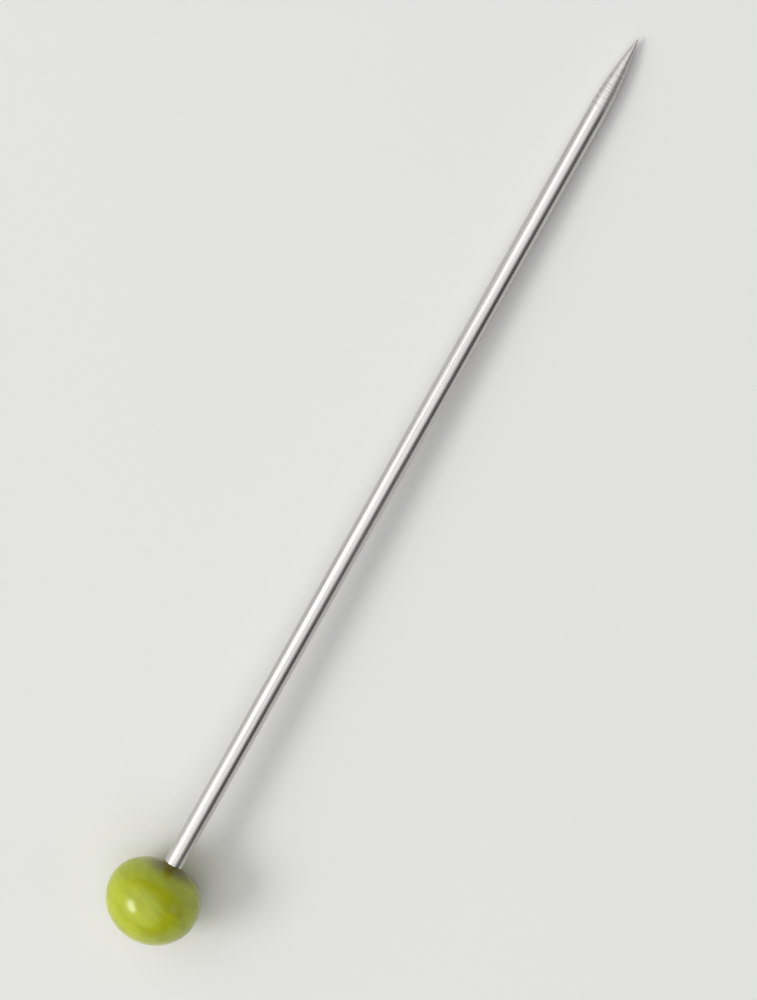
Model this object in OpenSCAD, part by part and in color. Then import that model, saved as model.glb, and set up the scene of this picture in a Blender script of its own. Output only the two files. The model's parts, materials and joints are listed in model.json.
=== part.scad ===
// Straight sewing pin with a glass head: a steel wire drawn to a fine point at one end,
// with a bead of opaque glass melted round its other, blunt end.
// The pin lies as it comes to rest on a flat surface: the bead and the first part of the taper
// touch z = 0, the wire runs in the XZ plane and the point looks toward +X.
// The origin is on that surface, below the middle of the pin's box.

/* [Pin] */
// Length over all, from the crown of the head to the point
pin_length = 32; // [20:0.5:60]
// Diameter of the wire
shaft_d = 0.6; // [0.4:0.05:1]

/* [Point] */
// Length of the taper, from the full wire to the point
point_length = 2.6; // [1.2:0.1:6]
// Radius at the very end of the point
tip_r = 0.02; // [0.01:0.005:0.05]

/* [Head] */
// Diameter of the glass bead, measured across the wire
head_d = 3; // [2:0.1:5]
// Height of the crown, from the bead's widest ring to its top
crown_h = 1.38; // [1:0.02:2.5]
// Height of the bead's wire side, from the widest ring to its shoulder round the wire
shoulder_h = 1.22; // [0.8:0.02:2.5]
// Fullness of the wire side: 2 is an ellipse, and more makes the shoulder squarer
shoulder_fullness = 2.2; // [2:0.1:3]

/* [Joint of glass and wire] */
// Glass left between the blunt end of the wire and the crown
end_cover = 0.7; // [0.4:0.05:1]
// Radius that the wire loses from the bead's mouth to its blunt end
end_narrowing = 0.03; // [0.01:0.01:0.08]
// Edge taken off the blunt end of the wire
end_chamfer = 0.05; // [0.02:0.01:0.1]
// Height to which the melted glass creeps up the wire
collar_h = 0.12; // [0.04:0.01:0.3]
// Distance from the wire over which that collar fades into the bead
collar_w = 0.06; // [0.03:0.01:0.15]

/* [Hidden] */
$fn = 96;
glass_color = "#b4bb35";
steel_color = "#c7cad0";

shaft_r = shaft_d / 2;
head_r = head_d / 2;

// Places along the wire are counted from the bead's widest ring, growing toward the point.
tip_u = pin_length - crown_h;
taper_u = tip_u - point_length;
end_u = end_cover - crown_h;

// The taper is one long arc that leaves the wire smoothly and closes on a small ball at the tip.
ball_u = tip_u - tip_r;
taper_r = (pow(point_length - tip_r, 2) + pow(shaft_r, 2) - pow(tip_r, 2)) / (2 * (shaft_r - tip_r));
taper_turn = asin((point_length - tip_r) / (taper_r - tip_r));

// Points of each curve in the outlines
crown_steps = 24;
shoulder_steps = 24;
taper_steps = 20;
ball_steps = 4;

// Outlines are lists of [distance from the axis, place along it].
function arc(axis_r, axis_u, radius, from, to, steps) =
    [for (k = [0:steps])
        let (turn = from + (to - from) * k / steps)
        [axis_r + radius * cos(turn), axis_u + radius * sin(turn)]];

// Wire side of the bead: a full, rounded shoulder plus the collar that the wetting glass leaves
function shoulder_u(r) =
    shoulder_h * pow(1 - pow(r / head_r, shoulder_fullness), 1 / shoulder_fullness)
    + collar_h * exp(-(r - shaft_r) / collar_w);

// The steps crowd toward the wire, where the collar bends most.
function shoulder_r(k) = shaft_r + (head_r - shaft_r) * pow(cos(90 * k / shoulder_steps), 2);

crown = [for (k = [0:crown_steps])
    [head_r * sin(90 * k / crown_steps), -crown_h * cos(90 * k / crown_steps)]];
shoulder = [for (k = [1:shoulder_steps - 1]) [shoulder_r(k), shoulder_u(shoulder_r(k))]];
bead = concat(crown, shoulder);

// Buried end of the wire, from the bead's mouth to the axis: the glass closes on it all round.
mouth_u = shoulder_u(shaft_r);
end_r = shaft_r - end_narrowing;
buried_end = [
    [shaft_r, mouth_u],
    [end_r, end_u + end_chamfer],
    [end_r - end_chamfer, end_u],
    [0, end_u]
];
taper = arc(shaft_r - taper_r, taper_u, taper_r, 0, taper_turn, taper_steps);
ball = [for (k = [1:ball_steps - 1])
    let (turn = taper_turn + (90 - taper_turn) * k / ball_steps)
    [tip_r * cos(turn), ball_u + tip_r * sin(turn)]];
wire = concat([for (k = [3:-1:0]) buried_end[k]], taper, ball, [[0, tip_u]]);

// How far an outline reaches from the bead's centre, in a direction turned from the radius
function reach(outline, turn) = max([for (p = outline) p[0] * cos(turn) + p[1] * sin(turn)]);

// Tilt at which the bead and the taper touch the same flat surface, found by halving
steepest_tilt = 30;
halvings = 40;
function rest_tilt(low, high, left) =
    let (mid = (low + high) / 2)
    left == 0 ? mid
    : reach(bead, mid) > reach(wire, mid) ? rest_tilt(mid, high, left - 1)
    : rest_tilt(low, mid, left - 1);
tilt = rest_tilt(0, steepest_tilt, halvings);

centre_z = reach(bead, tilt);
crown_reach = reach(bead, tilt - 90);
point_reach = reach(wire, 90 - tilt);
centre_x = (crown_reach - point_reach) / 2;

module at_rest() {
    translate([centre_x, 0, centre_z])
        rotate([0, 90 + tilt, 0])
            children();
}

// Bead of glass, with the blind socket that the wire's buried end leaves in it
module glass_head() {
    color(glass_color)
        at_rest()
            rotate_extrude()
                polygon(concat(bead, buried_end));
}

// Drawn wire with its blunt end in the bead and its ground point
module steel_shaft() {
    color(steel_color)
        at_rest()
            rotate_extrude()
                polygon(wire);
}

glass_head();
steel_shaft();
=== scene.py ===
"""A straight sewing pin with a glass head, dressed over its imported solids.

Lengths are in metres, and +X runs along the pin toward its point."""
import json
import math

import bpy
from mathutils import Matrix, Vector


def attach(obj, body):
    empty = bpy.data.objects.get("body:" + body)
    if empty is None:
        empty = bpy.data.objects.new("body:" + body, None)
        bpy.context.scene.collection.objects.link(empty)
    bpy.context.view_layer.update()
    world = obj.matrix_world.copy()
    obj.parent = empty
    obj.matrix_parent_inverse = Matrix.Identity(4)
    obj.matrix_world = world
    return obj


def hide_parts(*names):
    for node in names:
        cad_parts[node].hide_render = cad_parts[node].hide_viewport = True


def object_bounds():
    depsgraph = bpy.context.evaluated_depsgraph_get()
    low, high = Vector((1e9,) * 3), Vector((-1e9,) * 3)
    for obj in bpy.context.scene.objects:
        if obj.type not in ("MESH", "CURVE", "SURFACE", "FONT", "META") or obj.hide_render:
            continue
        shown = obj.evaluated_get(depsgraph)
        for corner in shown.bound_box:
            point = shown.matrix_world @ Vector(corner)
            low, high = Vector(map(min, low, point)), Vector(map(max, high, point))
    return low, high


bl_info = {
    "name": "Glass-headed straight pin",
    "version": (1, 0, 0),
    "blender": (4, 5, 0),
    "location": "View3D > Sidebar > Pin",
    "description": "Builds a straight pin with a glass head, and a table, light and camera for it",
    "category": "Add Mesh",
}

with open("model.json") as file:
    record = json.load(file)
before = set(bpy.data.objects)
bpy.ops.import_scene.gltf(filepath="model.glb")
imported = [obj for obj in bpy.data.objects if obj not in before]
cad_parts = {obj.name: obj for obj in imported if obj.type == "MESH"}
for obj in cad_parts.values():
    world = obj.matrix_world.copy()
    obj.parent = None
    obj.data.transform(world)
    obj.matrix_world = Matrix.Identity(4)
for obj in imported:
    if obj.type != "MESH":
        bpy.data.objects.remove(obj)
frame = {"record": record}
CAD_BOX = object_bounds()

MM = 0.001
FULL_TURN = 2 * math.pi
QUARTER_TURN = math.pi / 2

# The bare stretch of wire is the part's mount: its axis, radius and ends give the pin its place.
BARE_WIRE = frame["record"]["mounts"][0]
ALONG = Vector(BARE_WIRE["axis"]).normalized()
BARE_MIDDLE = Vector(BARE_WIRE["pos_m"])
BARE_LENGTH = BARE_WIRE["dims"]["length_mm"] * MM
WIRE_RADIUS = BARE_WIRE["dims"]["r_mm"] * MM
MOUTH = BARE_MIDDLE - ALONG * BARE_LENGTH / 2
TILT = math.asin(-ALONG.z)

# Attribute with each point's place on the pin before it was laid down, which the patterns follow
PIN_SPACE = "pin_space"

# A Mix node's numbers and colours share their names, so these sockets go by number.
NUMBER_A, NUMBER_B = 2, 3
COLOR_A, COLOR_B, COLOR_OUT = 6, 7, 2

# Fineness of the turned skins
BEAD_RINGS = 64
BEAD_SEGMENTS = 160
STRAIGHT_RINGS = 2
BARE_RINGS = 110
TAPER_RINGS = 48
BALL_RINGS = 7
WIRE_SEGMENTS = 64
# Points nearer than this are one, which closes the turned seams.
SEAM_GAP = 0.0001 * MM
# Edges sharper than this are creases.
CREASE_ANGLE = math.radians(35)

# Form of the flame-worked glass: its swirl in radians a metre, and the width of its soft hollows
GLASS_TWIST = 0.9 / MM
HOLLOW_WIDTH = 1.3 * MM
HOLLOW_DETAIL = 1.0
# Distances from the bead's mouth between which the hollows fade in
CALM_REACH = (0.5 * MM, 1.1 * MM)
# Flats of the ground point, across and along the wire, and the length over which they start
FLAT_SIZE = (0.3 * MM, 0.3 * MM, 2.5 * MM)
FLAT_DETAIL = 2.0
GRIND_BLEND = 0.35 * MM
# Seeds of the two forms
BEAD_SEED = 4.7
WIRE_SEED = 2.3

# Glass that the flame has polished, and how far each colour of light spreads inside it
GLASS_ROUGHNESS = 0.2
GLASS_IOR = 1.52
SPREAD_WEIGHT = 0.25
SPREAD_DEPTH = 0.25 * MM
SPREAD_BY_COLOR = (1.0, 0.9, 0.2)
# Streaks, across and along the wire, and the noise levels between which one fades in
STREAK_SIZE = (0.75 * MM, 0.75 * MM, 0.4 * MM)
STREAK_NOISE = {"Scale": 1.0, "Detail": 2.5, "Roughness": 0.5}
STREAK_LEVELS = (0.38, 0.68)
# Bubbles just under the surface: their radius is a share of the space that each has.
BUBBLE_SPACING = (0.42 * MM, 0.42 * MM, 0.42 * MM)
BUBBLE_SHARE = 0.1
BUBBLE_DEPTH = 0.01 * MM
BUBBLE_STRENGTH = 0.6
# Painted shade and reflection of the wire round the bead's mouth: distances from the mouth between
# which it fades out
ROOT_SHADE_REACH = (0.34 * MM, 1.1 * MM)
ROOT_SHADE_SHARE = 0.9

# Die lines and grinding scratches are about 0.01 mm wide, and are drawn coarser so that they show.
DIE_LINE_SIZE = (0.05 * MM, 0.05 * MM, 9 * MM)
DIE_LINE_NOISE = {"Scale": 1.0, "Detail": 4.0, "Roughness": 0.6}
SCRATCH_SIZE = (0.5 * MM, 0.5 * MM, 0.04 * MM)
SCRATCH_NOISE = {"Scale": 1.0, "Detail": 3.0, "Roughness": 0.6}
MARK_DEPTH = 0.004 * MM
MARK_STRENGTH = 0.5
# Noise levels between which a line's colour passes into the plating's, and its roughness grows
MARK_LEVELS = (0.3, 0.55)
DRAWN_LEVELS = (0.3, 0.7)
DRAWN_ROUGHNESS = (0.2, 0.38)
GROUND_ROUGHNESS = 0.38

# The table's tooth
TOOTH_WIDTH = 0.12 * MM
TOOTH_DEPTH = 0.012 * MM
TOOTH_DETAIL = 2.0
TOOTH_STRENGTH = 0.15
BOARD_ROUGHNESS = 0.9

# How the photograph sees the pin: the wire's direction in it, and the wire's lean toward the lens
SEEN_TURN = math.radians(60.6)
SEEN_LEAN = math.radians(12)
FRAME_HEIGHT = 1000
PIXELS_PER_MM = 33
LENS = 250
SENSOR = 36
# The nearest and farthest that the camera sees, as shares of its distance
CLIP_SHARES = (0.1, 100)

# The two softboxes: brightness, and direction in the picture as sideways, up and toward the lens
KEY_LIGHT = (7.5, (-0.79, -0.25, 0.55))
FILL_LIGHT = (0.8, (0.79, -0.25, 0.55))
SOFTBOX_WIDTH = math.radians(20)
SOFTBOX_HEIGHT = math.radians(30)
SOFTBOX_DISTANCE = 0.5
# The room: its walls, a broad ceiling light that leans toward the key side, and a pale horizon.
# The edges between which each fades are cosines from the light's middle, or sines of a height.
ROOM_BRIGHTNESS = 0.05
CEILING_LIGHT = (1.2, (-0.54, -0.23, 0.81))
CEILING_EDGE = (0.35, 0.85)
HORIZON_BRIGHTNESS = 0.58
HORIZON_EDGE = (-0.08, 0.42)
TABLE_RADIUS = 1.5
TABLE_SIDES = 128


def linear(code):
    """The linear colour of an sRGB hex code."""
    parts = [int(code[k:k + 2], 16) / 255 for k in (1, 3, 5)]
    return [v / 12.92 if v <= 0.04045 else ((v + 0.055) / 1.055) ** 2.4 for v in parts]


def add(tree, kind, settings=None, inputs=None):
    """Adds one node, with its settings, and its inputs as values or links."""
    node = tree.nodes.new(kind)
    for key, value in (settings or {}).items():
        setattr(node, key, value)
    for key, value in (inputs or {}).items():
        if isinstance(value, bpy.types.NodeSocket):
            tree.links.new(value, node.inputs[key])
        else:
            node.inputs[key].default_value = value
    return node


class PinSizes(bpy.types.PropertyGroup):
    """Sizes that the pin is sold by, and the form that the flame gives its head"""
    point_length: bpy.props.FloatProperty(
        name="Point length", description="Length of the taper, from the full wire to the point",
        default=2.6 * MM, min=1.2 * MM, max=6 * MM, unit="LENGTH", precision=5)
    tip_radius: bpy.props.FloatProperty(
        name="Tip radius", description="Radius at the very end of the point",
        default=0.02 * MM, min=0.005 * MM, max=0.05 * MM, unit="LENGTH", precision=5)
    head_radius: bpy.props.FloatProperty(
        name="Head radius", description="Radius of the glass bead, measured across the wire",
        default=1.5 * MM, min=1 * MM, max=2.5 * MM, unit="LENGTH", precision=5)
    crown_height: bpy.props.FloatProperty(
        name="Crown height", description="From the bead's widest ring to its top",
        default=1.38 * MM, min=1 * MM, max=2.5 * MM, unit="LENGTH", precision=5)
    shoulder_height: bpy.props.FloatProperty(
        name="Shoulder height",
        description="From the bead's widest ring to its shoulder round the wire",
        default=1.22 * MM, min=0.8 * MM, max=2.5 * MM, unit="LENGTH", precision=5)
    shoulder_fullness: bpy.props.FloatProperty(
        name="Shoulder fullness",
        description="2 is an ellipse, and more makes the shoulder squarer",
        default=2.2, min=2, max=3)
    end_cover: bpy.props.FloatProperty(
        name="End cover", description="Glass between the blunt end of the wire and the crown",
        default=0.7 * MM, min=0.4 * MM, max=1 * MM, unit="LENGTH", precision=5)
    end_narrowing: bpy.props.FloatProperty(
        name="End narrowing",
        description="Radius that the wire loses from the bead's mouth to its blunt end",
        default=0.03 * MM, min=0.01 * MM, max=0.08 * MM, unit="LENGTH", precision=5)
    end_chamfer: bpy.props.FloatProperty(
        name="End chamfer", description="Edge taken off the blunt end of the wire",
        default=0.05 * MM, min=0.02 * MM, max=0.1 * MM, unit="LENGTH", precision=5)
    collar_height: bpy.props.FloatProperty(
        name="Collar height", description="Height to which the melted glass creeps up the wire",
        default=0.12 * MM, min=0.04 * MM, max=0.3 * MM, unit="LENGTH", precision=5)
    collar_width: bpy.props.FloatProperty(
        name="Collar width",
        description="Distance from the wire over which the collar fades into the bead",
        default=0.06 * MM, min=0.03 * MM, max=0.15 * MM, unit="LENGTH", precision=5)
    waviness: bpy.props.FloatProperty(
        name="Waviness", description="Depth of the soft hollows that hand-turned glass keeps",
        default=0.012 * MM, min=0, max=0.05 * MM, unit="LENGTH", precision=5)
    grinding: bpy.props.FloatProperty(
        name="Grinding",
        description="Depth of the flats that the grinding wheel leaves on the point",
        default=0.002 * MM, min=0, max=0.01 * MM, unit="LENGTH", precision=5)


class PinFinish(bpy.types.PropertyGroup):
    """Colours of the glass, the metal and the table"""
    glass: bpy.props.FloatVectorProperty(
        name="Glass", description="Body colour of the opaque glass",
        subtype="COLOR", default=linear("#aeb81c"), min=0, max=1)
    glass_streak: bpy.props.FloatVectorProperty(
        name="Glass streak", description="Colour of the faint streaks wound into the glass",
        subtype="COLOR", default=linear("#a1aa15"), min=0, max=1)
    # Painted shade and reflection of the wire, darkest at the bead's mouth
    painted_root_shade: bpy.props.FloatVectorProperty(
        name="Painted root shade", description="Painted shade and reflection of the wire round the bead's mouth",
        subtype="COLOR", default=linear("#655816"), min=0, max=1)
    plating: bpy.props.FloatVectorProperty(
        name="Plating", description="Colour that the bright nickel plating reflects",
        subtype="COLOR", default=linear("#cfcdca"), min=0, max=1)
    plating_line: bpy.props.FloatVectorProperty(
        name="Plating line", description="Colour in the fine lines of the die and the wheel",
        subtype="COLOR", default=linear("#b0aeaa"), min=0, max=1)
    table: bpy.props.FloatVectorProperty(
        name="Table", description="Colour of the pale table",
        subtype="COLOR", default=linear("#e2e2df"), min=0, max=1)


def mouth_place(sizes):
    """Place of the bead's mouth, counted along the wire from the bead's widest ring."""
    share = (WIRE_RADIUS / sizes.head_radius) ** sizes.shoulder_fullness
    shoulder = sizes.shoulder_height * (1 - share) ** (1 / sizes.shoulder_fullness)
    return shoulder + sizes.collar_height


def head_centre(sizes):
    """Middle of the bead's widest ring, on the wire's axis."""
    return MOUTH - ALONG * mouth_place(sizes)


def new_tree(name, lengths, others):
    """A geometry tree with named inputs and one output, and the sockets that give its inputs."""
    tree = bpy.data.node_groups.new(name, "GeometryNodeTree")
    for label in lengths:
        socket = tree.interface.new_socket(label, in_out="INPUT", socket_type="NodeSocketFloat")
        socket.subtype = "DISTANCE"
    for label, kind in others.items():
        tree.interface.new_socket(label, in_out="INPUT", socket_type=kind)
    tree.interface.new_socket("Geometry", in_out="OUTPUT", socket_type="NodeSocketGeometry")
    return tree, add(tree, "NodeGroupInput").outputs


def lathe_tree():
    """Turns an outline about the wire's axis.

    The outline is two fields over Position X, which runs from -0.5 to 0.5."""
    tree, given = new_tree("Lathe", ("Radius", "Place"), {
        "Rings": "NodeSocketInt", "Segments": "NodeSocketInt"})
    columns = add(tree, "ShaderNodeMath", {"operation": "ADD"}, {0: given["Segments"], 1: 1.0})
    sheet = add(tree, "GeometryNodeMeshGrid", None, {
        "Size X": 1.0, "Size Y": 1.0,
        "Vertices X": given["Rings"], "Vertices Y": columns.outputs[0]})
    position = add(tree, "GeometryNodeInputPosition")
    parts = add(tree, "ShaderNodeSeparateXYZ", None, {0: position.outputs[0]})
    turn = add(tree, "ShaderNodeMath", {"operation": "MULTIPLY_ADD"}, {
        0: parts.outputs["Y"], 1: -FULL_TURN, 2: math.pi})
    across, aside = arc_fields(tree, turn.outputs[0], given["Radius"], given["Radius"])
    point = add(tree, "ShaderNodeCombineXYZ", None, {
        "X": aside, "Y": across, "Z": given["Place"]})
    turned = add(tree, "GeometryNodeSetPosition", None, {
        "Geometry": sheet.outputs["Mesh"], "Position": point.outputs[0]})
    add(tree, "NodeGroupOutput", None, {0: turned.outputs[0]})
    return tree


def progress(tree):
    """The field that runs from 0 to 1 along an outline."""
    position = add(tree, "GeometryNodeInputPosition")
    parts = add(tree, "ShaderNodeSeparateXYZ", None, {0: position.outputs[0]})
    return add(tree, "ShaderNodeMath", {"operation": "ADD"}, {
        0: parts.outputs["X"], 1: 0.5}).outputs[0]


def arc_fields(tree, angle, length, height):
    """The two fields of an arc: length times an angle's sine, and height times its cosine."""
    sine = add(tree, "ShaderNodeMath", {"operation": "SINE"}, {0: angle})
    cosine = add(tree, "ShaderNodeMath", {"operation": "COSINE"}, {0: angle})
    run = add(tree, "ShaderNodeMath", {"operation": "MULTIPLY"}, {
        0: sine.outputs[0], 1: length})
    rise = add(tree, "ShaderNodeMath", {"operation": "MULTIPLY"}, {
        0: cosine.outputs[0], 1: height})
    return run.outputs[0], rise.outputs[0]


def joined(tree, skins):
    """Several skins as one, with their shared rings and turned seams closed."""
    join = add(tree, "GeometryNodeJoinGeometry")
    for skin in skins:
        tree.links.new(skin, join.inputs[0])
    return add(tree, "GeometryNodeMergeByDistance", None, {
        "Geometry": join.outputs[0], "Distance": SEAM_GAP}).outputs[0]


def lathed(tree, lathe, segments, bands):
    """One skin turned from bands of an outline, each with a radius, a place and its rings."""
    return joined(tree, [
        add(tree, "GeometryNodeGroup", {"node_tree": lathe}, {
            "Rings": rings, "Segments": segments, "Radius": radius, "Place": place}).outputs[0]
        for radius, place, rings in bands])


def buried_bands(tree, given):
    """Bands of the wire's buried end, from the blunt end's middle to the bead's mouth."""
    along = progress(tree)
    end_radius = add(tree, "ShaderNodeMath", {"operation": "SUBTRACT"}, {
        0: given["Wire Radius"], 1: given["End Narrowing"]}).outputs[0]
    face_radius = add(tree, "ShaderNodeMath", {"operation": "SUBTRACT"}, {
        0: end_radius, 1: given["End Chamfer"]}).outputs[0]
    rim_place = add(tree, "ShaderNodeMath", {"operation": "ADD"}, {
        0: given["End Place"], 1: given["End Chamfer"]}).outputs[0]
    corners = [(0.0, given["End Place"]), (face_radius, given["End Place"]),
               (end_radius, rim_place), (given["Wire Radius"], given["Mouth Place"])]
    bands = []
    for (radius_a, place_a), (radius_b, place_b) in zip(corners, corners[1:]):
        radius = add(tree, "ShaderNodeMix", None, {
            0: along, NUMBER_A: radius_a, NUMBER_B: radius_b})
        place = add(tree, "ShaderNodeMix", None, {
            0: along, NUMBER_A: place_a, NUMBER_B: place_b})
        bands.append((radius.outputs[0], place.outputs[0], STRAIGHT_RINGS))
    return bands


def sunk(tree, skin, depth, share):
    """The skin, sunk along its normals by a depth times a share from 0 to 1 that varies."""
    amount = add(tree, "ShaderNodeMath", {"operation": "MULTIPLY"}, {0: depth, 1: share})
    inward = add(tree, "ShaderNodeVectorMath", {"operation": "SCALE"}, {
        0: add(tree, "GeometryNodeInputNormal").outputs[0], "Scale": amount.outputs[0]})
    moved = add(tree, "ShaderNodeVectorMath", {"operation": "SUBTRACT"}, {
        0: add(tree, "GeometryNodeInputPosition").outputs[0], 1: inward.outputs[0]})
    return add(tree, "GeometryNodeSetPosition", None, {
        "Geometry": skin, "Position": moved.outputs[0]}).outputs[0]


def wound(tree, place):
    """Places turned about the wire by an angle that grows along it, as wound glass flows."""
    parts = add(tree, "ShaderNodeSeparateXYZ", None, {0: place})
    twist = add(tree, "ShaderNodeMath", {"operation": "MULTIPLY"}, {
        0: parts.outputs["Z"], 1: GLASS_TWIST})
    return add(tree, "ShaderNodeVectorRotate", {"rotation_type": "Z_AXIS"}, {
        "Vector": place, "Angle": twist.outputs[0]}).outputs[0]


def ground_share(tree, place, start):
    """0 on the drawn wire and 1 on the ground point, whose start is a socket or a number."""
    parts = add(tree, "ShaderNodeSeparateXYZ", None, {0: place})
    past = add(tree, "ShaderNodeMath", {"operation": "SUBTRACT"}, {
        0: parts.outputs["Z"], 1: start})
    return add(tree, "ShaderNodeMapRange", {"interpolation_type": "SMOOTHSTEP"}, {
        "Value": past.outputs[0], "From Min": 0.0, "From Max": GRIND_BLEND}).outputs[0]


def finish_tree(tree, skin, given):
    """The last steps of a main piece: its attribute, shading, place on the table and material."""
    position = add(tree, "GeometryNodeInputPosition")
    named = add(tree, "GeometryNodeStoreNamedAttribute", {
        "data_type": "FLOAT_VECTOR", "domain": "POINT"}, {
            "Geometry": skin, "Name": PIN_SPACE, "Value": position.outputs[0]})
    smooth = add(tree, "GeometryNodeSetShadeSmooth", {"domain": "FACE"}, {
        "Geometry": named.outputs[0]})
    edge = add(tree, "GeometryNodeInputMeshEdgeAngle")
    crease = add(tree, "ShaderNodeMath", {"operation": "GREATER_THAN"}, {
        0: edge.outputs["Unsigned Angle"], 1: CREASE_ANGLE})
    creased = add(tree, "GeometryNodeSetShadeSmooth", {"domain": "EDGE"}, {
        "Geometry": smooth.outputs[0], "Selection": crease.outputs[0], "Shade Smooth": False})
    lean = add(tree, "ShaderNodeMath", {"operation": "ADD"}, {0: given["Tilt"], 1: QUARTER_TURN})
    turn = add(tree, "ShaderNodeCombineXYZ", None, {"Y": lean.outputs[0]})
    laid = add(tree, "GeometryNodeTransform", None, {
        "Geometry": creased.outputs[0],
        "Translation": given["Centre"], "Rotation": turn.outputs[0]})
    real = add(tree, "GeometryNodeRealizeInstances", None, {"Geometry": laid.outputs[0]})
    coated = add(tree, "GeometryNodeSetMaterial", None, {
        "Geometry": real.outputs[0], "Material": given["Material"]})
    add(tree, "NodeGroupOutput", None, {0: coated.outputs[0]})


def bead_tree(lathe):
    """The glass bead: a round crown, a fuller shoulder with a collar, and the wire's socket."""
    tree, given = new_tree("Glass bead", (
        "Head Radius", "Crown Height", "Shoulder Height", "Wire Radius", "Mouth Place",
        "Collar Height", "Collar Width", "End Place", "End Narrowing", "End Chamfer",
        "Waviness", "Hollow Width"), {
            "Shoulder Fullness": "NodeSocketFloat", "Seed": "NodeSocketFloat",
            "Tilt": "NodeSocketFloat", "Centre": "NodeSocketVector",
            "Material": "NodeSocketMaterial"})
    quarter = add(tree, "ShaderNodeMath", {"operation": "MULTIPLY"}, {
        0: progress(tree), 1: QUARTER_TURN})
    crown_radius, crown_depth = arc_fields(
        tree, quarter.outputs[0], given["Head Radius"], given["Crown Height"])
    crown_place = add(tree, "ShaderNodeMath", {"operation": "MULTIPLY"}, {
        0: crown_depth, 1: -1.0})

    # The rings of the shoulder crowd toward the wire, where the collar bends most.
    cosine = add(tree, "ShaderNodeMath", {"operation": "COSINE"}, {0: quarter.outputs[0]})
    spread = add(tree, "ShaderNodeMath", {"operation": "POWER"}, {0: cosine.outputs[0], 1: 2.0})
    radius = add(tree, "ShaderNodeMix", None, {
        0: spread.outputs[0],
        NUMBER_A: given["Wire Radius"], NUMBER_B: given["Head Radius"]}).outputs[0]
    ratio = add(tree, "ShaderNodeMath", {"operation": "DIVIDE"}, {
        0: radius, 1: given["Head Radius"]})
    share = add(tree, "ShaderNodeMath", {"operation": "POWER"}, {
        0: ratio.outputs[0], 1: given["Shoulder Fullness"]})
    left = add(tree, "ShaderNodeMath", {"operation": "SUBTRACT", "use_clamp": True}, {
        0: 1.0, 1: share.outputs[0]})
    root = add(tree, "ShaderNodeMath", {"operation": "DIVIDE"}, {
        0: 1.0, 1: given["Shoulder Fullness"]})
    rise = add(tree, "ShaderNodeMath", {"operation": "POWER"}, {
        0: left.outputs[0], 1: root.outputs[0]})
    inward = add(tree, "ShaderNodeMath", {"operation": "SUBTRACT"}, {
        0: given["Wire Radius"], 1: radius})
    fade = add(tree, "ShaderNodeMath", {"operation": "DIVIDE"}, {
        0: inward.outputs[0], 1: given["Collar Width"]})
    creep = add(tree, "ShaderNodeMath", {"operation": "EXPONENT"}, {0: fade.outputs[0]})
    collar = add(tree, "ShaderNodeMath", {"operation": "MULTIPLY"}, {
        0: creep.outputs[0], 1: given["Collar Height"]})
    place = add(tree, "ShaderNodeMath", {"operation": "MULTIPLY_ADD"}, {
        0: rise.outputs[0], 1: given["Shoulder Height"], 2: collar.outputs[0]})
    outside = lathed(tree, lathe, BEAD_SEGMENTS, [
        (crown_radius, crown_place.outputs[0], BEAD_RINGS),
        (radius, place.outputs[0], BEAD_RINGS)])

    # Soft hollows follow the winding of the glass, and fade out toward the collar.
    position = add(tree, "GeometryNodeInputPosition").outputs[0]
    fineness = add(tree, "ShaderNodeMath", {"operation": "DIVIDE"}, {
        0: 1.0, 1: given["Hollow Width"]})
    noise = add(tree, "ShaderNodeTexNoise", {"noise_dimensions": "4D"}, {
        "Vector": wound(tree, position), "W": given["Seed"],
        "Scale": fineness.outputs[0], "Detail": HOLLOW_DETAIL})
    mouth = add(tree, "ShaderNodeCombineXYZ", None, {"Z": given["Mouth Place"]})
    away = add(tree, "ShaderNodeVectorMath", {"operation": "DISTANCE"}, {
        0: position, 1: mouth.outputs[0]})
    mask = add(tree, "ShaderNodeMapRange", {"interpolation_type": "SMOOTHSTEP"}, {
        "Value": away.outputs["Value"], "From Min": CALM_REACH[0], "From Max": CALM_REACH[1]})
    hollow = add(tree, "ShaderNodeMath", {"operation": "MULTIPLY"}, {
        0: noise.outputs[0], 1: mask.outputs[0]})
    wavy = sunk(tree, outside, given["Waviness"], hollow.outputs[0])

    # The socket is the skin of the wire's buried end, turned inside out.
    buried = lathed(tree, lathe, BEAD_SEGMENTS, buried_bands(tree, given))
    socket = add(tree, "GeometryNodeFlipFaces", None, {0: buried})
    finish_tree(tree, joined(tree, [wavy, socket.outputs[0]]), given)
    return tree


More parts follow.
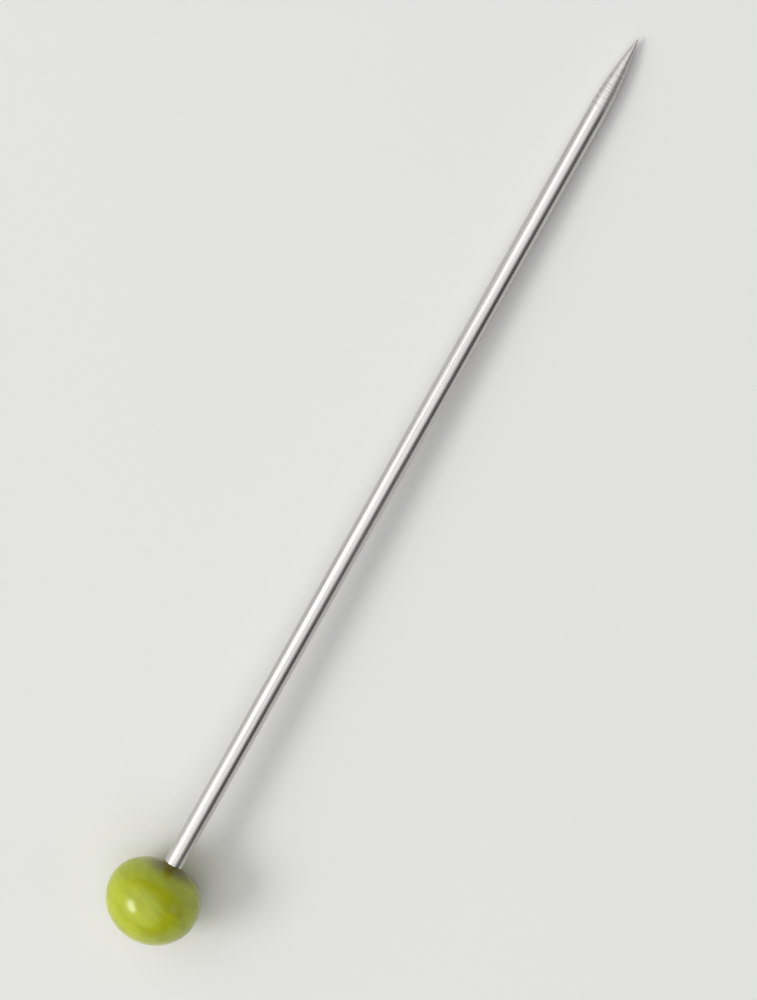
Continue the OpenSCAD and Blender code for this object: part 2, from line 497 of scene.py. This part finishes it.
def wire_tree(lathe):
    """The steel wire: its buried end, the bare stretch, and the taper that ends in a small ball."""
    tree, given = new_tree("Steel wire", (
        "Wire Radius", "Mouth Place", "End Place", "End Narrowing", "End Chamfer",
        "Taper Place", "Taper Curve", "Ball Place", "Tip Radius", "Grinding"), {
            "Taper Turn": "NodeSocketFloat", "Seed": "NodeSocketFloat",
            "Tilt": "NodeSocketFloat", "Centre": "NodeSocketVector",
            "Material": "NodeSocketMaterial"})
    along = progress(tree)
    bare_place = add(tree, "ShaderNodeMix", None, {
        0: along, NUMBER_A: given["Mouth Place"], NUMBER_B: given["Taper Place"]})

    taper_angle = add(tree, "ShaderNodeMath", {"operation": "MULTIPLY"}, {
        0: along, 1: given["Taper Turn"]})
    run, rise = arc_fields(
        tree, taper_angle.outputs[0], given["Taper Curve"], given["Taper Curve"])
    taper_place = add(tree, "ShaderNodeMath", {"operation": "ADD"}, {
        0: run, 1: given["Taper Place"]})
    dip = add(tree, "ShaderNodeMath", {"operation": "SUBTRACT"}, {
        0: given["Taper Curve"], 1: rise})
    taper_radius = add(tree, "ShaderNodeMath", {"operation": "SUBTRACT"}, {
        0: given["Wire Radius"], 1: dip.outputs[0]})

    ball_angle = add(tree, "ShaderNodeMix", None, {
        0: along, NUMBER_A: given["Taper Turn"], NUMBER_B: QUARTER_TURN})
    run, ball_radius = arc_fields(
        tree, ball_angle.outputs[0], given["Tip Radius"], given["Tip Radius"])
    ball_place = add(tree, "ShaderNodeMath", {"operation": "ADD"}, {
        0: run, 1: given["Ball Place"]})

    skin = lathed(tree, lathe, WIRE_SEGMENTS, buried_bands(tree, given) + [
        (given["Wire Radius"], bare_place.outputs[0], BARE_RINGS),
        (taper_radius.outputs[0], taper_place.outputs[0], TAPER_RINGS),
        (ball_radius, ball_place.outputs[0], BALL_RINGS)])

    # The wheel leaves long shallow flats on the point, shallower where it is thinner.
    position = add(tree, "GeometryNodeInputPosition").outputs[0]
    cells = add(tree, "ShaderNodeVectorMath", {"operation": "DIVIDE"}, {
        0: position, 1: FLAT_SIZE})
    noise = add(tree, "ShaderNodeTexNoise", {"noise_dimensions": "4D"}, {
        "Vector": cells.outputs[0], "W": given["Seed"], "Scale": 1.0, "Detail": FLAT_DETAIL})
    across = add(tree, "ShaderNodeVectorMath", {"operation": "MULTIPLY"}, {
        0: position, 1: (1, 1, 0)})
    thickness = add(tree, "ShaderNodeVectorMath", {"operation": "LENGTH"}, {
        0: across.outputs[0]})
    fullness = add(tree, "ShaderNodeMath", {"operation": "DIVIDE", "use_clamp": True}, {
        0: thickness.outputs["Value"], 1: given["Wire Radius"]})
    ground = add(tree, "ShaderNodeMath", {"operation": "MULTIPLY"}, {
        0: ground_share(tree, position, given["Taper Place"]), 1: fullness.outputs[0]})
    depth = add(tree, "ShaderNodeMath", {"operation": "MULTIPLY"}, {
        0: noise.outputs[0], 1: ground.outputs[0]})
    finish_tree(tree, sunk(tree, skin, given["Grinding"], depth.outputs[0]), given)
    return tree


def grown(name, tree, values):
    """A new object with the plain mesh that a geometry tree makes of these values."""
    piece = bpy.data.objects.new(name, bpy.data.meshes.new(name))
    bpy.context.scene.collection.objects.link(piece)
    modifier = piece.modifiers.new("Form", "NODES")
    modifier.node_group = tree
    for socket in tree.interface.items_tree:
        if socket.in_out == "INPUT":
            modifier[socket.identifier] = values[socket.name]
    graph = bpy.context.evaluated_depsgraph_get()
    mesh = bpy.data.meshes.new_from_object(
        piece.evaluated_get(graph), preserve_all_data_layers=True, depsgraph=graph)
    piece.modifiers.remove(modifier)
    # The tree's own primitives leave an empty first material slot.
    if mesh.materials[0] is None:
        mesh.materials.pop(index=0)
    mesh.name = name
    piece.data = mesh
    return piece


def new_material(name):
    """A node material with nothing but its surface shader."""
    material = bpy.data.materials.new(name)
    material.use_nodes = True
    tree = material.node_tree
    tree.nodes.clear()
    shader = add(tree, "ShaderNodeBsdfPrincipled")
    add(tree, "ShaderNodeOutputMaterial", None, {"Surface": shader.outputs[0]})
    return material, tree, shader


def opaque_glass(sizes, finish):
    """Opaque soda-lime glass, turned in a flame: a wet gloss with a slightly soft bright spot,
    over a body that light enters a little, with faint streaks wound round the wire, a few
    pinprick bubbles, and a painted shade and reflection of the wire that darkens the root."""
    material, tree, shader = new_material("opaque_lime_glass_flame_polished")
    place = add(tree, "ShaderNodeAttribute", {"attribute_name": PIN_SPACE}).outputs["Vector"]
    cells = add(tree, "ShaderNodeVectorMath", {"operation": "DIVIDE"}, {
        0: wound(tree, place), 1: STREAK_SIZE})
    streaks = add(tree, "ShaderNodeTexNoise", None, {"Vector": cells.outputs[0], **STREAK_NOISE})
    amount = add(tree, "ShaderNodeMapRange", {"interpolation_type": "SMOOTHSTEP"}, {
        "Value": streaks.outputs[0],
        "From Min": STREAK_LEVELS[0], "From Max": STREAK_LEVELS[1]})
    streaked = add(tree, "ShaderNodeMix", {"data_type": "RGBA"}, {
        0: amount.outputs[0],
        COLOR_A: (*finish.glass, 1), COLOR_B: (*finish.glass_streak, 1)})
    # Painted shade and reflection of the wire: the glass colour darkens toward the bead's mouth.
    away = add(tree, "ShaderNodeVectorMath", {"operation": "DISTANCE"}, {
        0: place, 1: (0, 0, mouth_place(sizes))})
    root_shade_fade = add(tree, "ShaderNodeMapRange", {"interpolation_type": "SMOOTHSTEP"}, {
        "Value": away.outputs["Value"], "From Min": ROOT_SHADE_REACH[0], "From Max": ROOT_SHADE_REACH[1],
        "To Min": ROOT_SHADE_SHARE, "To Max": 0.0})
    color = add(tree, "ShaderNodeMix", {"data_type": "RGBA"}, {
        0: root_shade_fade.outputs[0],
        COLOR_A: streaked.outputs[COLOR_OUT], COLOR_B: (*finish.painted_root_shade, 1)})
    tree.links.new(color.outputs[COLOR_OUT], shader.inputs["Base Color"])

    cells = add(tree, "ShaderNodeVectorMath", {"operation": "DIVIDE"}, {
        0: place, 1: BUBBLE_SPACING})
    bubbles = add(tree, "ShaderNodeTexVoronoi", None, {"Vector": cells.outputs[0], "Scale": 1.0})
    pits = add(tree, "ShaderNodeMapRange", {"interpolation_type": "SMOOTHSTEP"}, {
        "Value": bubbles.outputs["Distance"], "From Min": 0.0, "From Max": BUBBLE_SHARE})
    bump = add(tree, "ShaderNodeBump", None, {
        "Height": pits.outputs[0], "Strength": BUBBLE_STRENGTH, "Distance": BUBBLE_DEPTH})
    tree.links.new(bump.outputs[0], shader.inputs["Normal"])
    shader.inputs["Roughness"].default_value = GLASS_ROUGHNESS
    shader.inputs["IOR"].default_value = GLASS_IOR
    shader.inputs["Subsurface Weight"].default_value = SPREAD_WEIGHT
    shader.inputs["Subsurface Radius"].default_value = SPREAD_BY_COLOR
    shader.inputs["Subsurface Scale"].default_value = SPREAD_DEPTH
    return material


def plated_wire(sizes, finish):
    """Hard steel wire, drawn through a die and nickel plated: a bright, slightly warm mirror
    with fine lines along it, and a duller ground point whose scratches run round it."""
    material, tree, shader = new_material("nickel_plated_steel_wire_drawn")
    place = add(tree, "ShaderNodeAttribute", {"attribute_name": PIN_SPACE}).outputs["Vector"]
    ground = ground_share(tree, place, mouth_place(sizes) + BARE_LENGTH)
    cells = add(tree, "ShaderNodeVectorMath", {"operation": "DIVIDE"}, {
        0: place, 1: DIE_LINE_SIZE})
    lines = add(tree, "ShaderNodeTexNoise", None, {"Vector": cells.outputs[0], **DIE_LINE_NOISE})
    cells = add(tree, "ShaderNodeVectorMath", {"operation": "DIVIDE"}, {
        0: place, 1: SCRATCH_SIZE})
    scratches = add(tree, "ShaderNodeTexNoise", None, {
        "Vector": cells.outputs[0], **SCRATCH_NOISE})
    marks = add(tree, "ShaderNodeMix", None, {
        0: ground, NUMBER_A: lines.outputs[0], NUMBER_B: scratches.outputs[0]})
    bump = add(tree, "ShaderNodeBump", None, {
        "Height": marks.outputs[0], "Strength": MARK_STRENGTH, "Distance": MARK_DEPTH})
    tree.links.new(bump.outputs[0], shader.inputs["Normal"])

    tone = add(tree, "ShaderNodeMapRange", None, {
        "Value": marks.outputs[0], "From Min": MARK_LEVELS[0], "From Max": MARK_LEVELS[1]})
    color = add(tree, "ShaderNodeMix", {"data_type": "RGBA"}, {
        0: tone.outputs[0],
        COLOR_A: (*finish.plating_line, 1), COLOR_B: (*finish.plating, 1)})
    tree.links.new(color.outputs[COLOR_OUT], shader.inputs["Base Color"])
    drawn = add(tree, "ShaderNodeMapRange", None, {
        "Value": lines.outputs[0], "From Min": DRAWN_LEVELS[0], "From Max": DRAWN_LEVELS[1],
        "To Min": DRAWN_ROUGHNESS[0], "To Max": DRAWN_ROUGHNESS[1]})
    roughness = add(tree, "ShaderNodeMix", None, {
        0: ground, NUMBER_A: drawn.outputs[0], NUMBER_B: GROUND_ROUGHNESS})
    tree.links.new(roughness.outputs[0], shader.inputs["Roughness"])
    shader.inputs["Metallic"].default_value = 1.0
    return material


def matte_board(finish):
    """Matte coated board: an even pale sheet with a fine tooth and no gloss of its own."""
    material, tree, shader = new_material("matte_coated_board")
    coordinates = add(tree, "ShaderNodeTexCoord")
    tooth = add(tree, "ShaderNodeTexNoise", None, {
        "Vector": coordinates.outputs["Object"],
        "Scale": 1 / TOOTH_WIDTH, "Detail": TOOTH_DETAIL})
    bump = add(tree, "ShaderNodeBump", None, {
        "Height": tooth.outputs[0], "Strength": TOOTH_STRENGTH, "Distance": TOOTH_DEPTH})
    tree.links.new(bump.outputs[0], shader.inputs["Normal"])
    shader.inputs["Base Color"].default_value = (*finish.table, 1)
    shader.inputs["Roughness"].default_value = BOARD_ROUGHNESS
    return material


def picture_axes():
    """The picture's right, up and toward-the-lens directions.

    The photograph looks straight down at a pin whose wire leans toward the lens and points up
    to the right. Here the pin lies flat, so the camera leans instead."""
    lean = SEEN_LEAN + TILT
    back = Vector((math.sin(lean), 0, math.cos(lean)))
    shown = (ALONG - back * ALONG.dot(back)).normalized()
    square = back.cross(shown)
    right = shown * math.cos(SEEN_TURN) - square * math.sin(SEEN_TURN)
    up = shown * math.sin(SEEN_TURN) + square * math.cos(SEEN_TURN)
    return Matrix((right, up, back)).transposed()


def add_camera(middle, axes):
    """The camera at the photograph's viewing angle, so near that the pin fills the frame."""
    data = bpy.data.cameras.new("Camera")
    data.lens = LENS
    data.sensor_width = SENSOR
    distance = LENS * FRAME_HEIGHT / (SENSOR * PIXELS_PER_MM) * MM
    data.clip_start, data.clip_end = (distance * share for share in CLIP_SHARES)
    camera = bpy.data.objects.new("Camera", data)
    bpy.context.scene.collection.objects.link(camera)
    camera.matrix_world = Matrix.Translation(middle + axes.col[2] * distance) @ axes.to_4x4()
    bpy.context.scene.camera = camera


def add_softbox(name, middle, axes, brightness, seen):
    """An upright oval softbox. Brightness is what a mirror shows of it, where 1 is white."""
    data = bpy.data.lights.new(name, "AREA")
    data.shape = "ELLIPSE"
    data.size = 2 * SOFTBOX_DISTANCE * math.tan(SOFTBOX_WIDTH / 2)
    data.size_y = 2 * SOFTBOX_DISTANCE * math.tan(SOFTBOX_HEIGHT / 2)
    area = math.pi / 4 * data.size * data.size_y
    # A mirror shows an area lamp as bright as its power divided by pi and by its area.
    data.energy = brightness * math.pi * area
    lamp = bpy.data.objects.new(name, data)
    bpy.context.scene.collection.objects.link(lamp)
    away = (axes @ Vector(seen)).normalized()
    side = axes.col[1].cross(away).normalized()
    turn = Matrix((side, away.cross(side), away)).transposed().to_4x4()
    lamp.matrix_world = Matrix.Translation(middle + away * SOFTBOX_DISTANCE) @ turn


def set_world(axes):
    """A plain studio room: dim walls, a broad ceiling light, a pale horizon behind the table."""
    world = bpy.data.worlds.new("Studio")
    bpy.context.scene.world = world
    world.use_nodes = True
    tree = world.node_tree
    tree.nodes.clear()
    direction = add(tree, "ShaderNodeTexCoord").outputs["Generated"]
    brightness, seen = CEILING_LIGHT
    nearness = add(tree, "ShaderNodeVectorMath", {"operation": "DOT_PRODUCT"}, {
        0: direction, 1: (axes @ Vector(seen)).normalized()})
    ceiling = add(tree, "ShaderNodeMapRange", {"interpolation_type": "SMOOTHSTEP"}, {
        "Value": nearness.outputs["Value"],
        "From Min": CEILING_EDGE[0], "From Max": CEILING_EDGE[1],
        "To Min": ROOM_BRIGHTNESS, "To Max": ROOM_BRIGHTNESS + brightness})
    height = add(tree, "ShaderNodeSeparateXYZ", None, {0: direction})
    horizon = add(tree, "ShaderNodeMapRange", {"interpolation_type": "SMOOTHSTEP"}, {
        "Value": height.outputs["Z"],
        "From Min": HORIZON_EDGE[0], "From Max": HORIZON_EDGE[1],
        "To Min": HORIZON_BRIGHTNESS, "To Max": 0.0})
    total = add(tree, "ShaderNodeMath", {"operation": "ADD"}, {
        0: ceiling.outputs[0], 1: horizon.outputs[0]})
    sky = add(tree, "ShaderNodeBackground", None, {
        "Color": (1, 1, 1, 1), "Strength": total.outputs[0]})
    add(tree, "ShaderNodeOutputWorld", None, {"Surface": sky.outputs[0]})


class PIN_OT_make_bead(bpy.types.Operator):
    """Make the bead of opaque glass round the wire's blunt end"""
    bl_idname = "pin.make_bead"
    bl_label = "Glass bead"

    def execute(self, context):
        sizes, finish = context.scene.pin_sizes, context.scene.pin_finish
        bead = grown("glass_bead", bead_tree(lathe_tree()), {
            "Head Radius": sizes.head_radius,
            "Crown Height": sizes.crown_height,
            "Shoulder Height": sizes.shoulder_height,
            "Shoulder Fullness": sizes.shoulder_fullness,
            "Wire Radius": WIRE_RADIUS,
            "Mouth Place": mouth_place(sizes),
            "Collar Height": sizes.collar_height,
            "Collar Width": sizes.collar_width,
            "End Place": sizes.end_cover - sizes.crown_height,
            "End Narrowing": sizes.end_narrowing,
            "End Chamfer": sizes.end_chamfer,
            "Waviness": sizes.waviness,
            "Hollow Width": HOLLOW_WIDTH,
            "Seed": BEAD_SEED,
            "Tilt": TILT,
            "Centre": head_centre(sizes),
            "Material": opaque_glass(sizes, finish),
        })
        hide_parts("glass_head")
        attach(bead, "root")
        return {"FINISHED"}


class PIN_OT_make_wire(bpy.types.Operator):
    """Make the plated steel wire with its ground point"""
    bl_idname = "pin.make_wire"
    bl_label = "Steel wire"

    def execute(self, context):
        sizes, finish = context.scene.pin_sizes, context.scene.pin_finish
        tip, length = sizes.tip_radius, sizes.point_length
        taper_place = mouth_place(sizes) + BARE_LENGTH
        # The taper is one long arc that leaves the wire smoothly and meets a small ball at the tip.
        arc_parts = (length - tip) ** 2 + WIRE_RADIUS ** 2 - tip ** 2
        taper_curve = arc_parts / (2 * (WIRE_RADIUS - tip))
        wire = grown("steel_wire", wire_tree(lathe_tree()), {
            "Wire Radius": WIRE_RADIUS,
            "Mouth Place": mouth_place(sizes),
            "End Place": sizes.end_cover - sizes.crown_height,
            "End Narrowing": sizes.end_narrowing,
            "End Chamfer": sizes.end_chamfer,
            "Taper Place": taper_place,
            "Taper Curve": taper_curve,
            "Taper Turn": math.asin((length - tip) / (taper_curve - tip)),
            "Ball Place": taper_place + length - tip,
            "Tip Radius": tip,
            "Grinding": sizes.grinding,
            "Seed": WIRE_SEED,
            "Tilt": TILT,
            "Centre": head_centre(sizes),
            "Material": plated_wire(sizes, finish),
        })
        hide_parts("steel_shaft")
        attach(wire, "root")
        return {"FINISHED"}


class PIN_OT_make_stage(bpy.types.Operator):
    """Lay the pale table under the pin, and set the light and the camera"""
    bl_idname = "pin.make_stage"
    bl_label = "Table, light and camera"

    def execute(self, context):
        scene = context.scene
        mesh = bpy.data.meshes.new("table_top")
        turns = [FULL_TURN * k / TABLE_SIDES for k in range(TABLE_SIDES)]
        rim = [(TABLE_RADIUS * math.cos(turn), TABLE_RADIUS * math.sin(turn), 0)
               for turn in turns]
        mesh.from_pydata(rim, [], [range(TABLE_SIDES)])
        mesh.materials.append(matte_board(scene.pin_finish))
        table = bpy.data.objects.new("table_top", mesh)
        scene.collection.objects.link(table)

        low, high = CAD_BOX
        middle = (low + high) / 2
        axes = picture_axes()
        for name, light in (("Key softbox", KEY_LIGHT), ("Fill softbox", FILL_LIGHT)):
            add_softbox(name, middle, axes, *light)
        set_world(axes)
        add_camera(middle, axes)
        scene.view_settings.view_transform = "Standard"
        return {"FINISHED"}


class PIN_PT_build(bpy.types.Panel):
    """Lists the pin's sizes, its finishes and the steps that build it"""
    bl_idname = "PIN_PT_build"
    bl_label = "Straight pin"
    bl_space_type = "VIEW_3D"
    bl_region_type = "UI"
    bl_category = "Pin"

    def draw(self, context):
        for group in (context.scene.pin_sizes, context.scene.pin_finish):
            box = self.layout.box()
            for name in group.__annotations__:
                box.prop(group, name)
        for step in STEPS:
            self.layout.operator(step.bl_idname)


STEPS = (PIN_OT_make_bead, PIN_OT_make_wire, PIN_OT_make_stage)
CLASSES = (PinSizes, PinFinish, *STEPS, PIN_PT_build)


def register():
    for kind in CLASSES:
        bpy.utils.register_class(kind)
    bpy.types.Scene.pin_sizes = bpy.props.PointerProperty(type=PinSizes)
    bpy.types.Scene.pin_finish = bpy.props.PointerProperty(type=PinFinish)


def unregister():
    del bpy.types.Scene.pin_finish
    del bpy.types.Scene.pin_sizes
    for kind in reversed(CLASSES):
        bpy.utils.unregister_class(kind)


def main():
    register()
    bpy.ops.pin.make_bead()
    bpy.ops.pin.make_wire()
    bpy.ops.pin.make_stage()


if __name__ == "__main__":
    main()
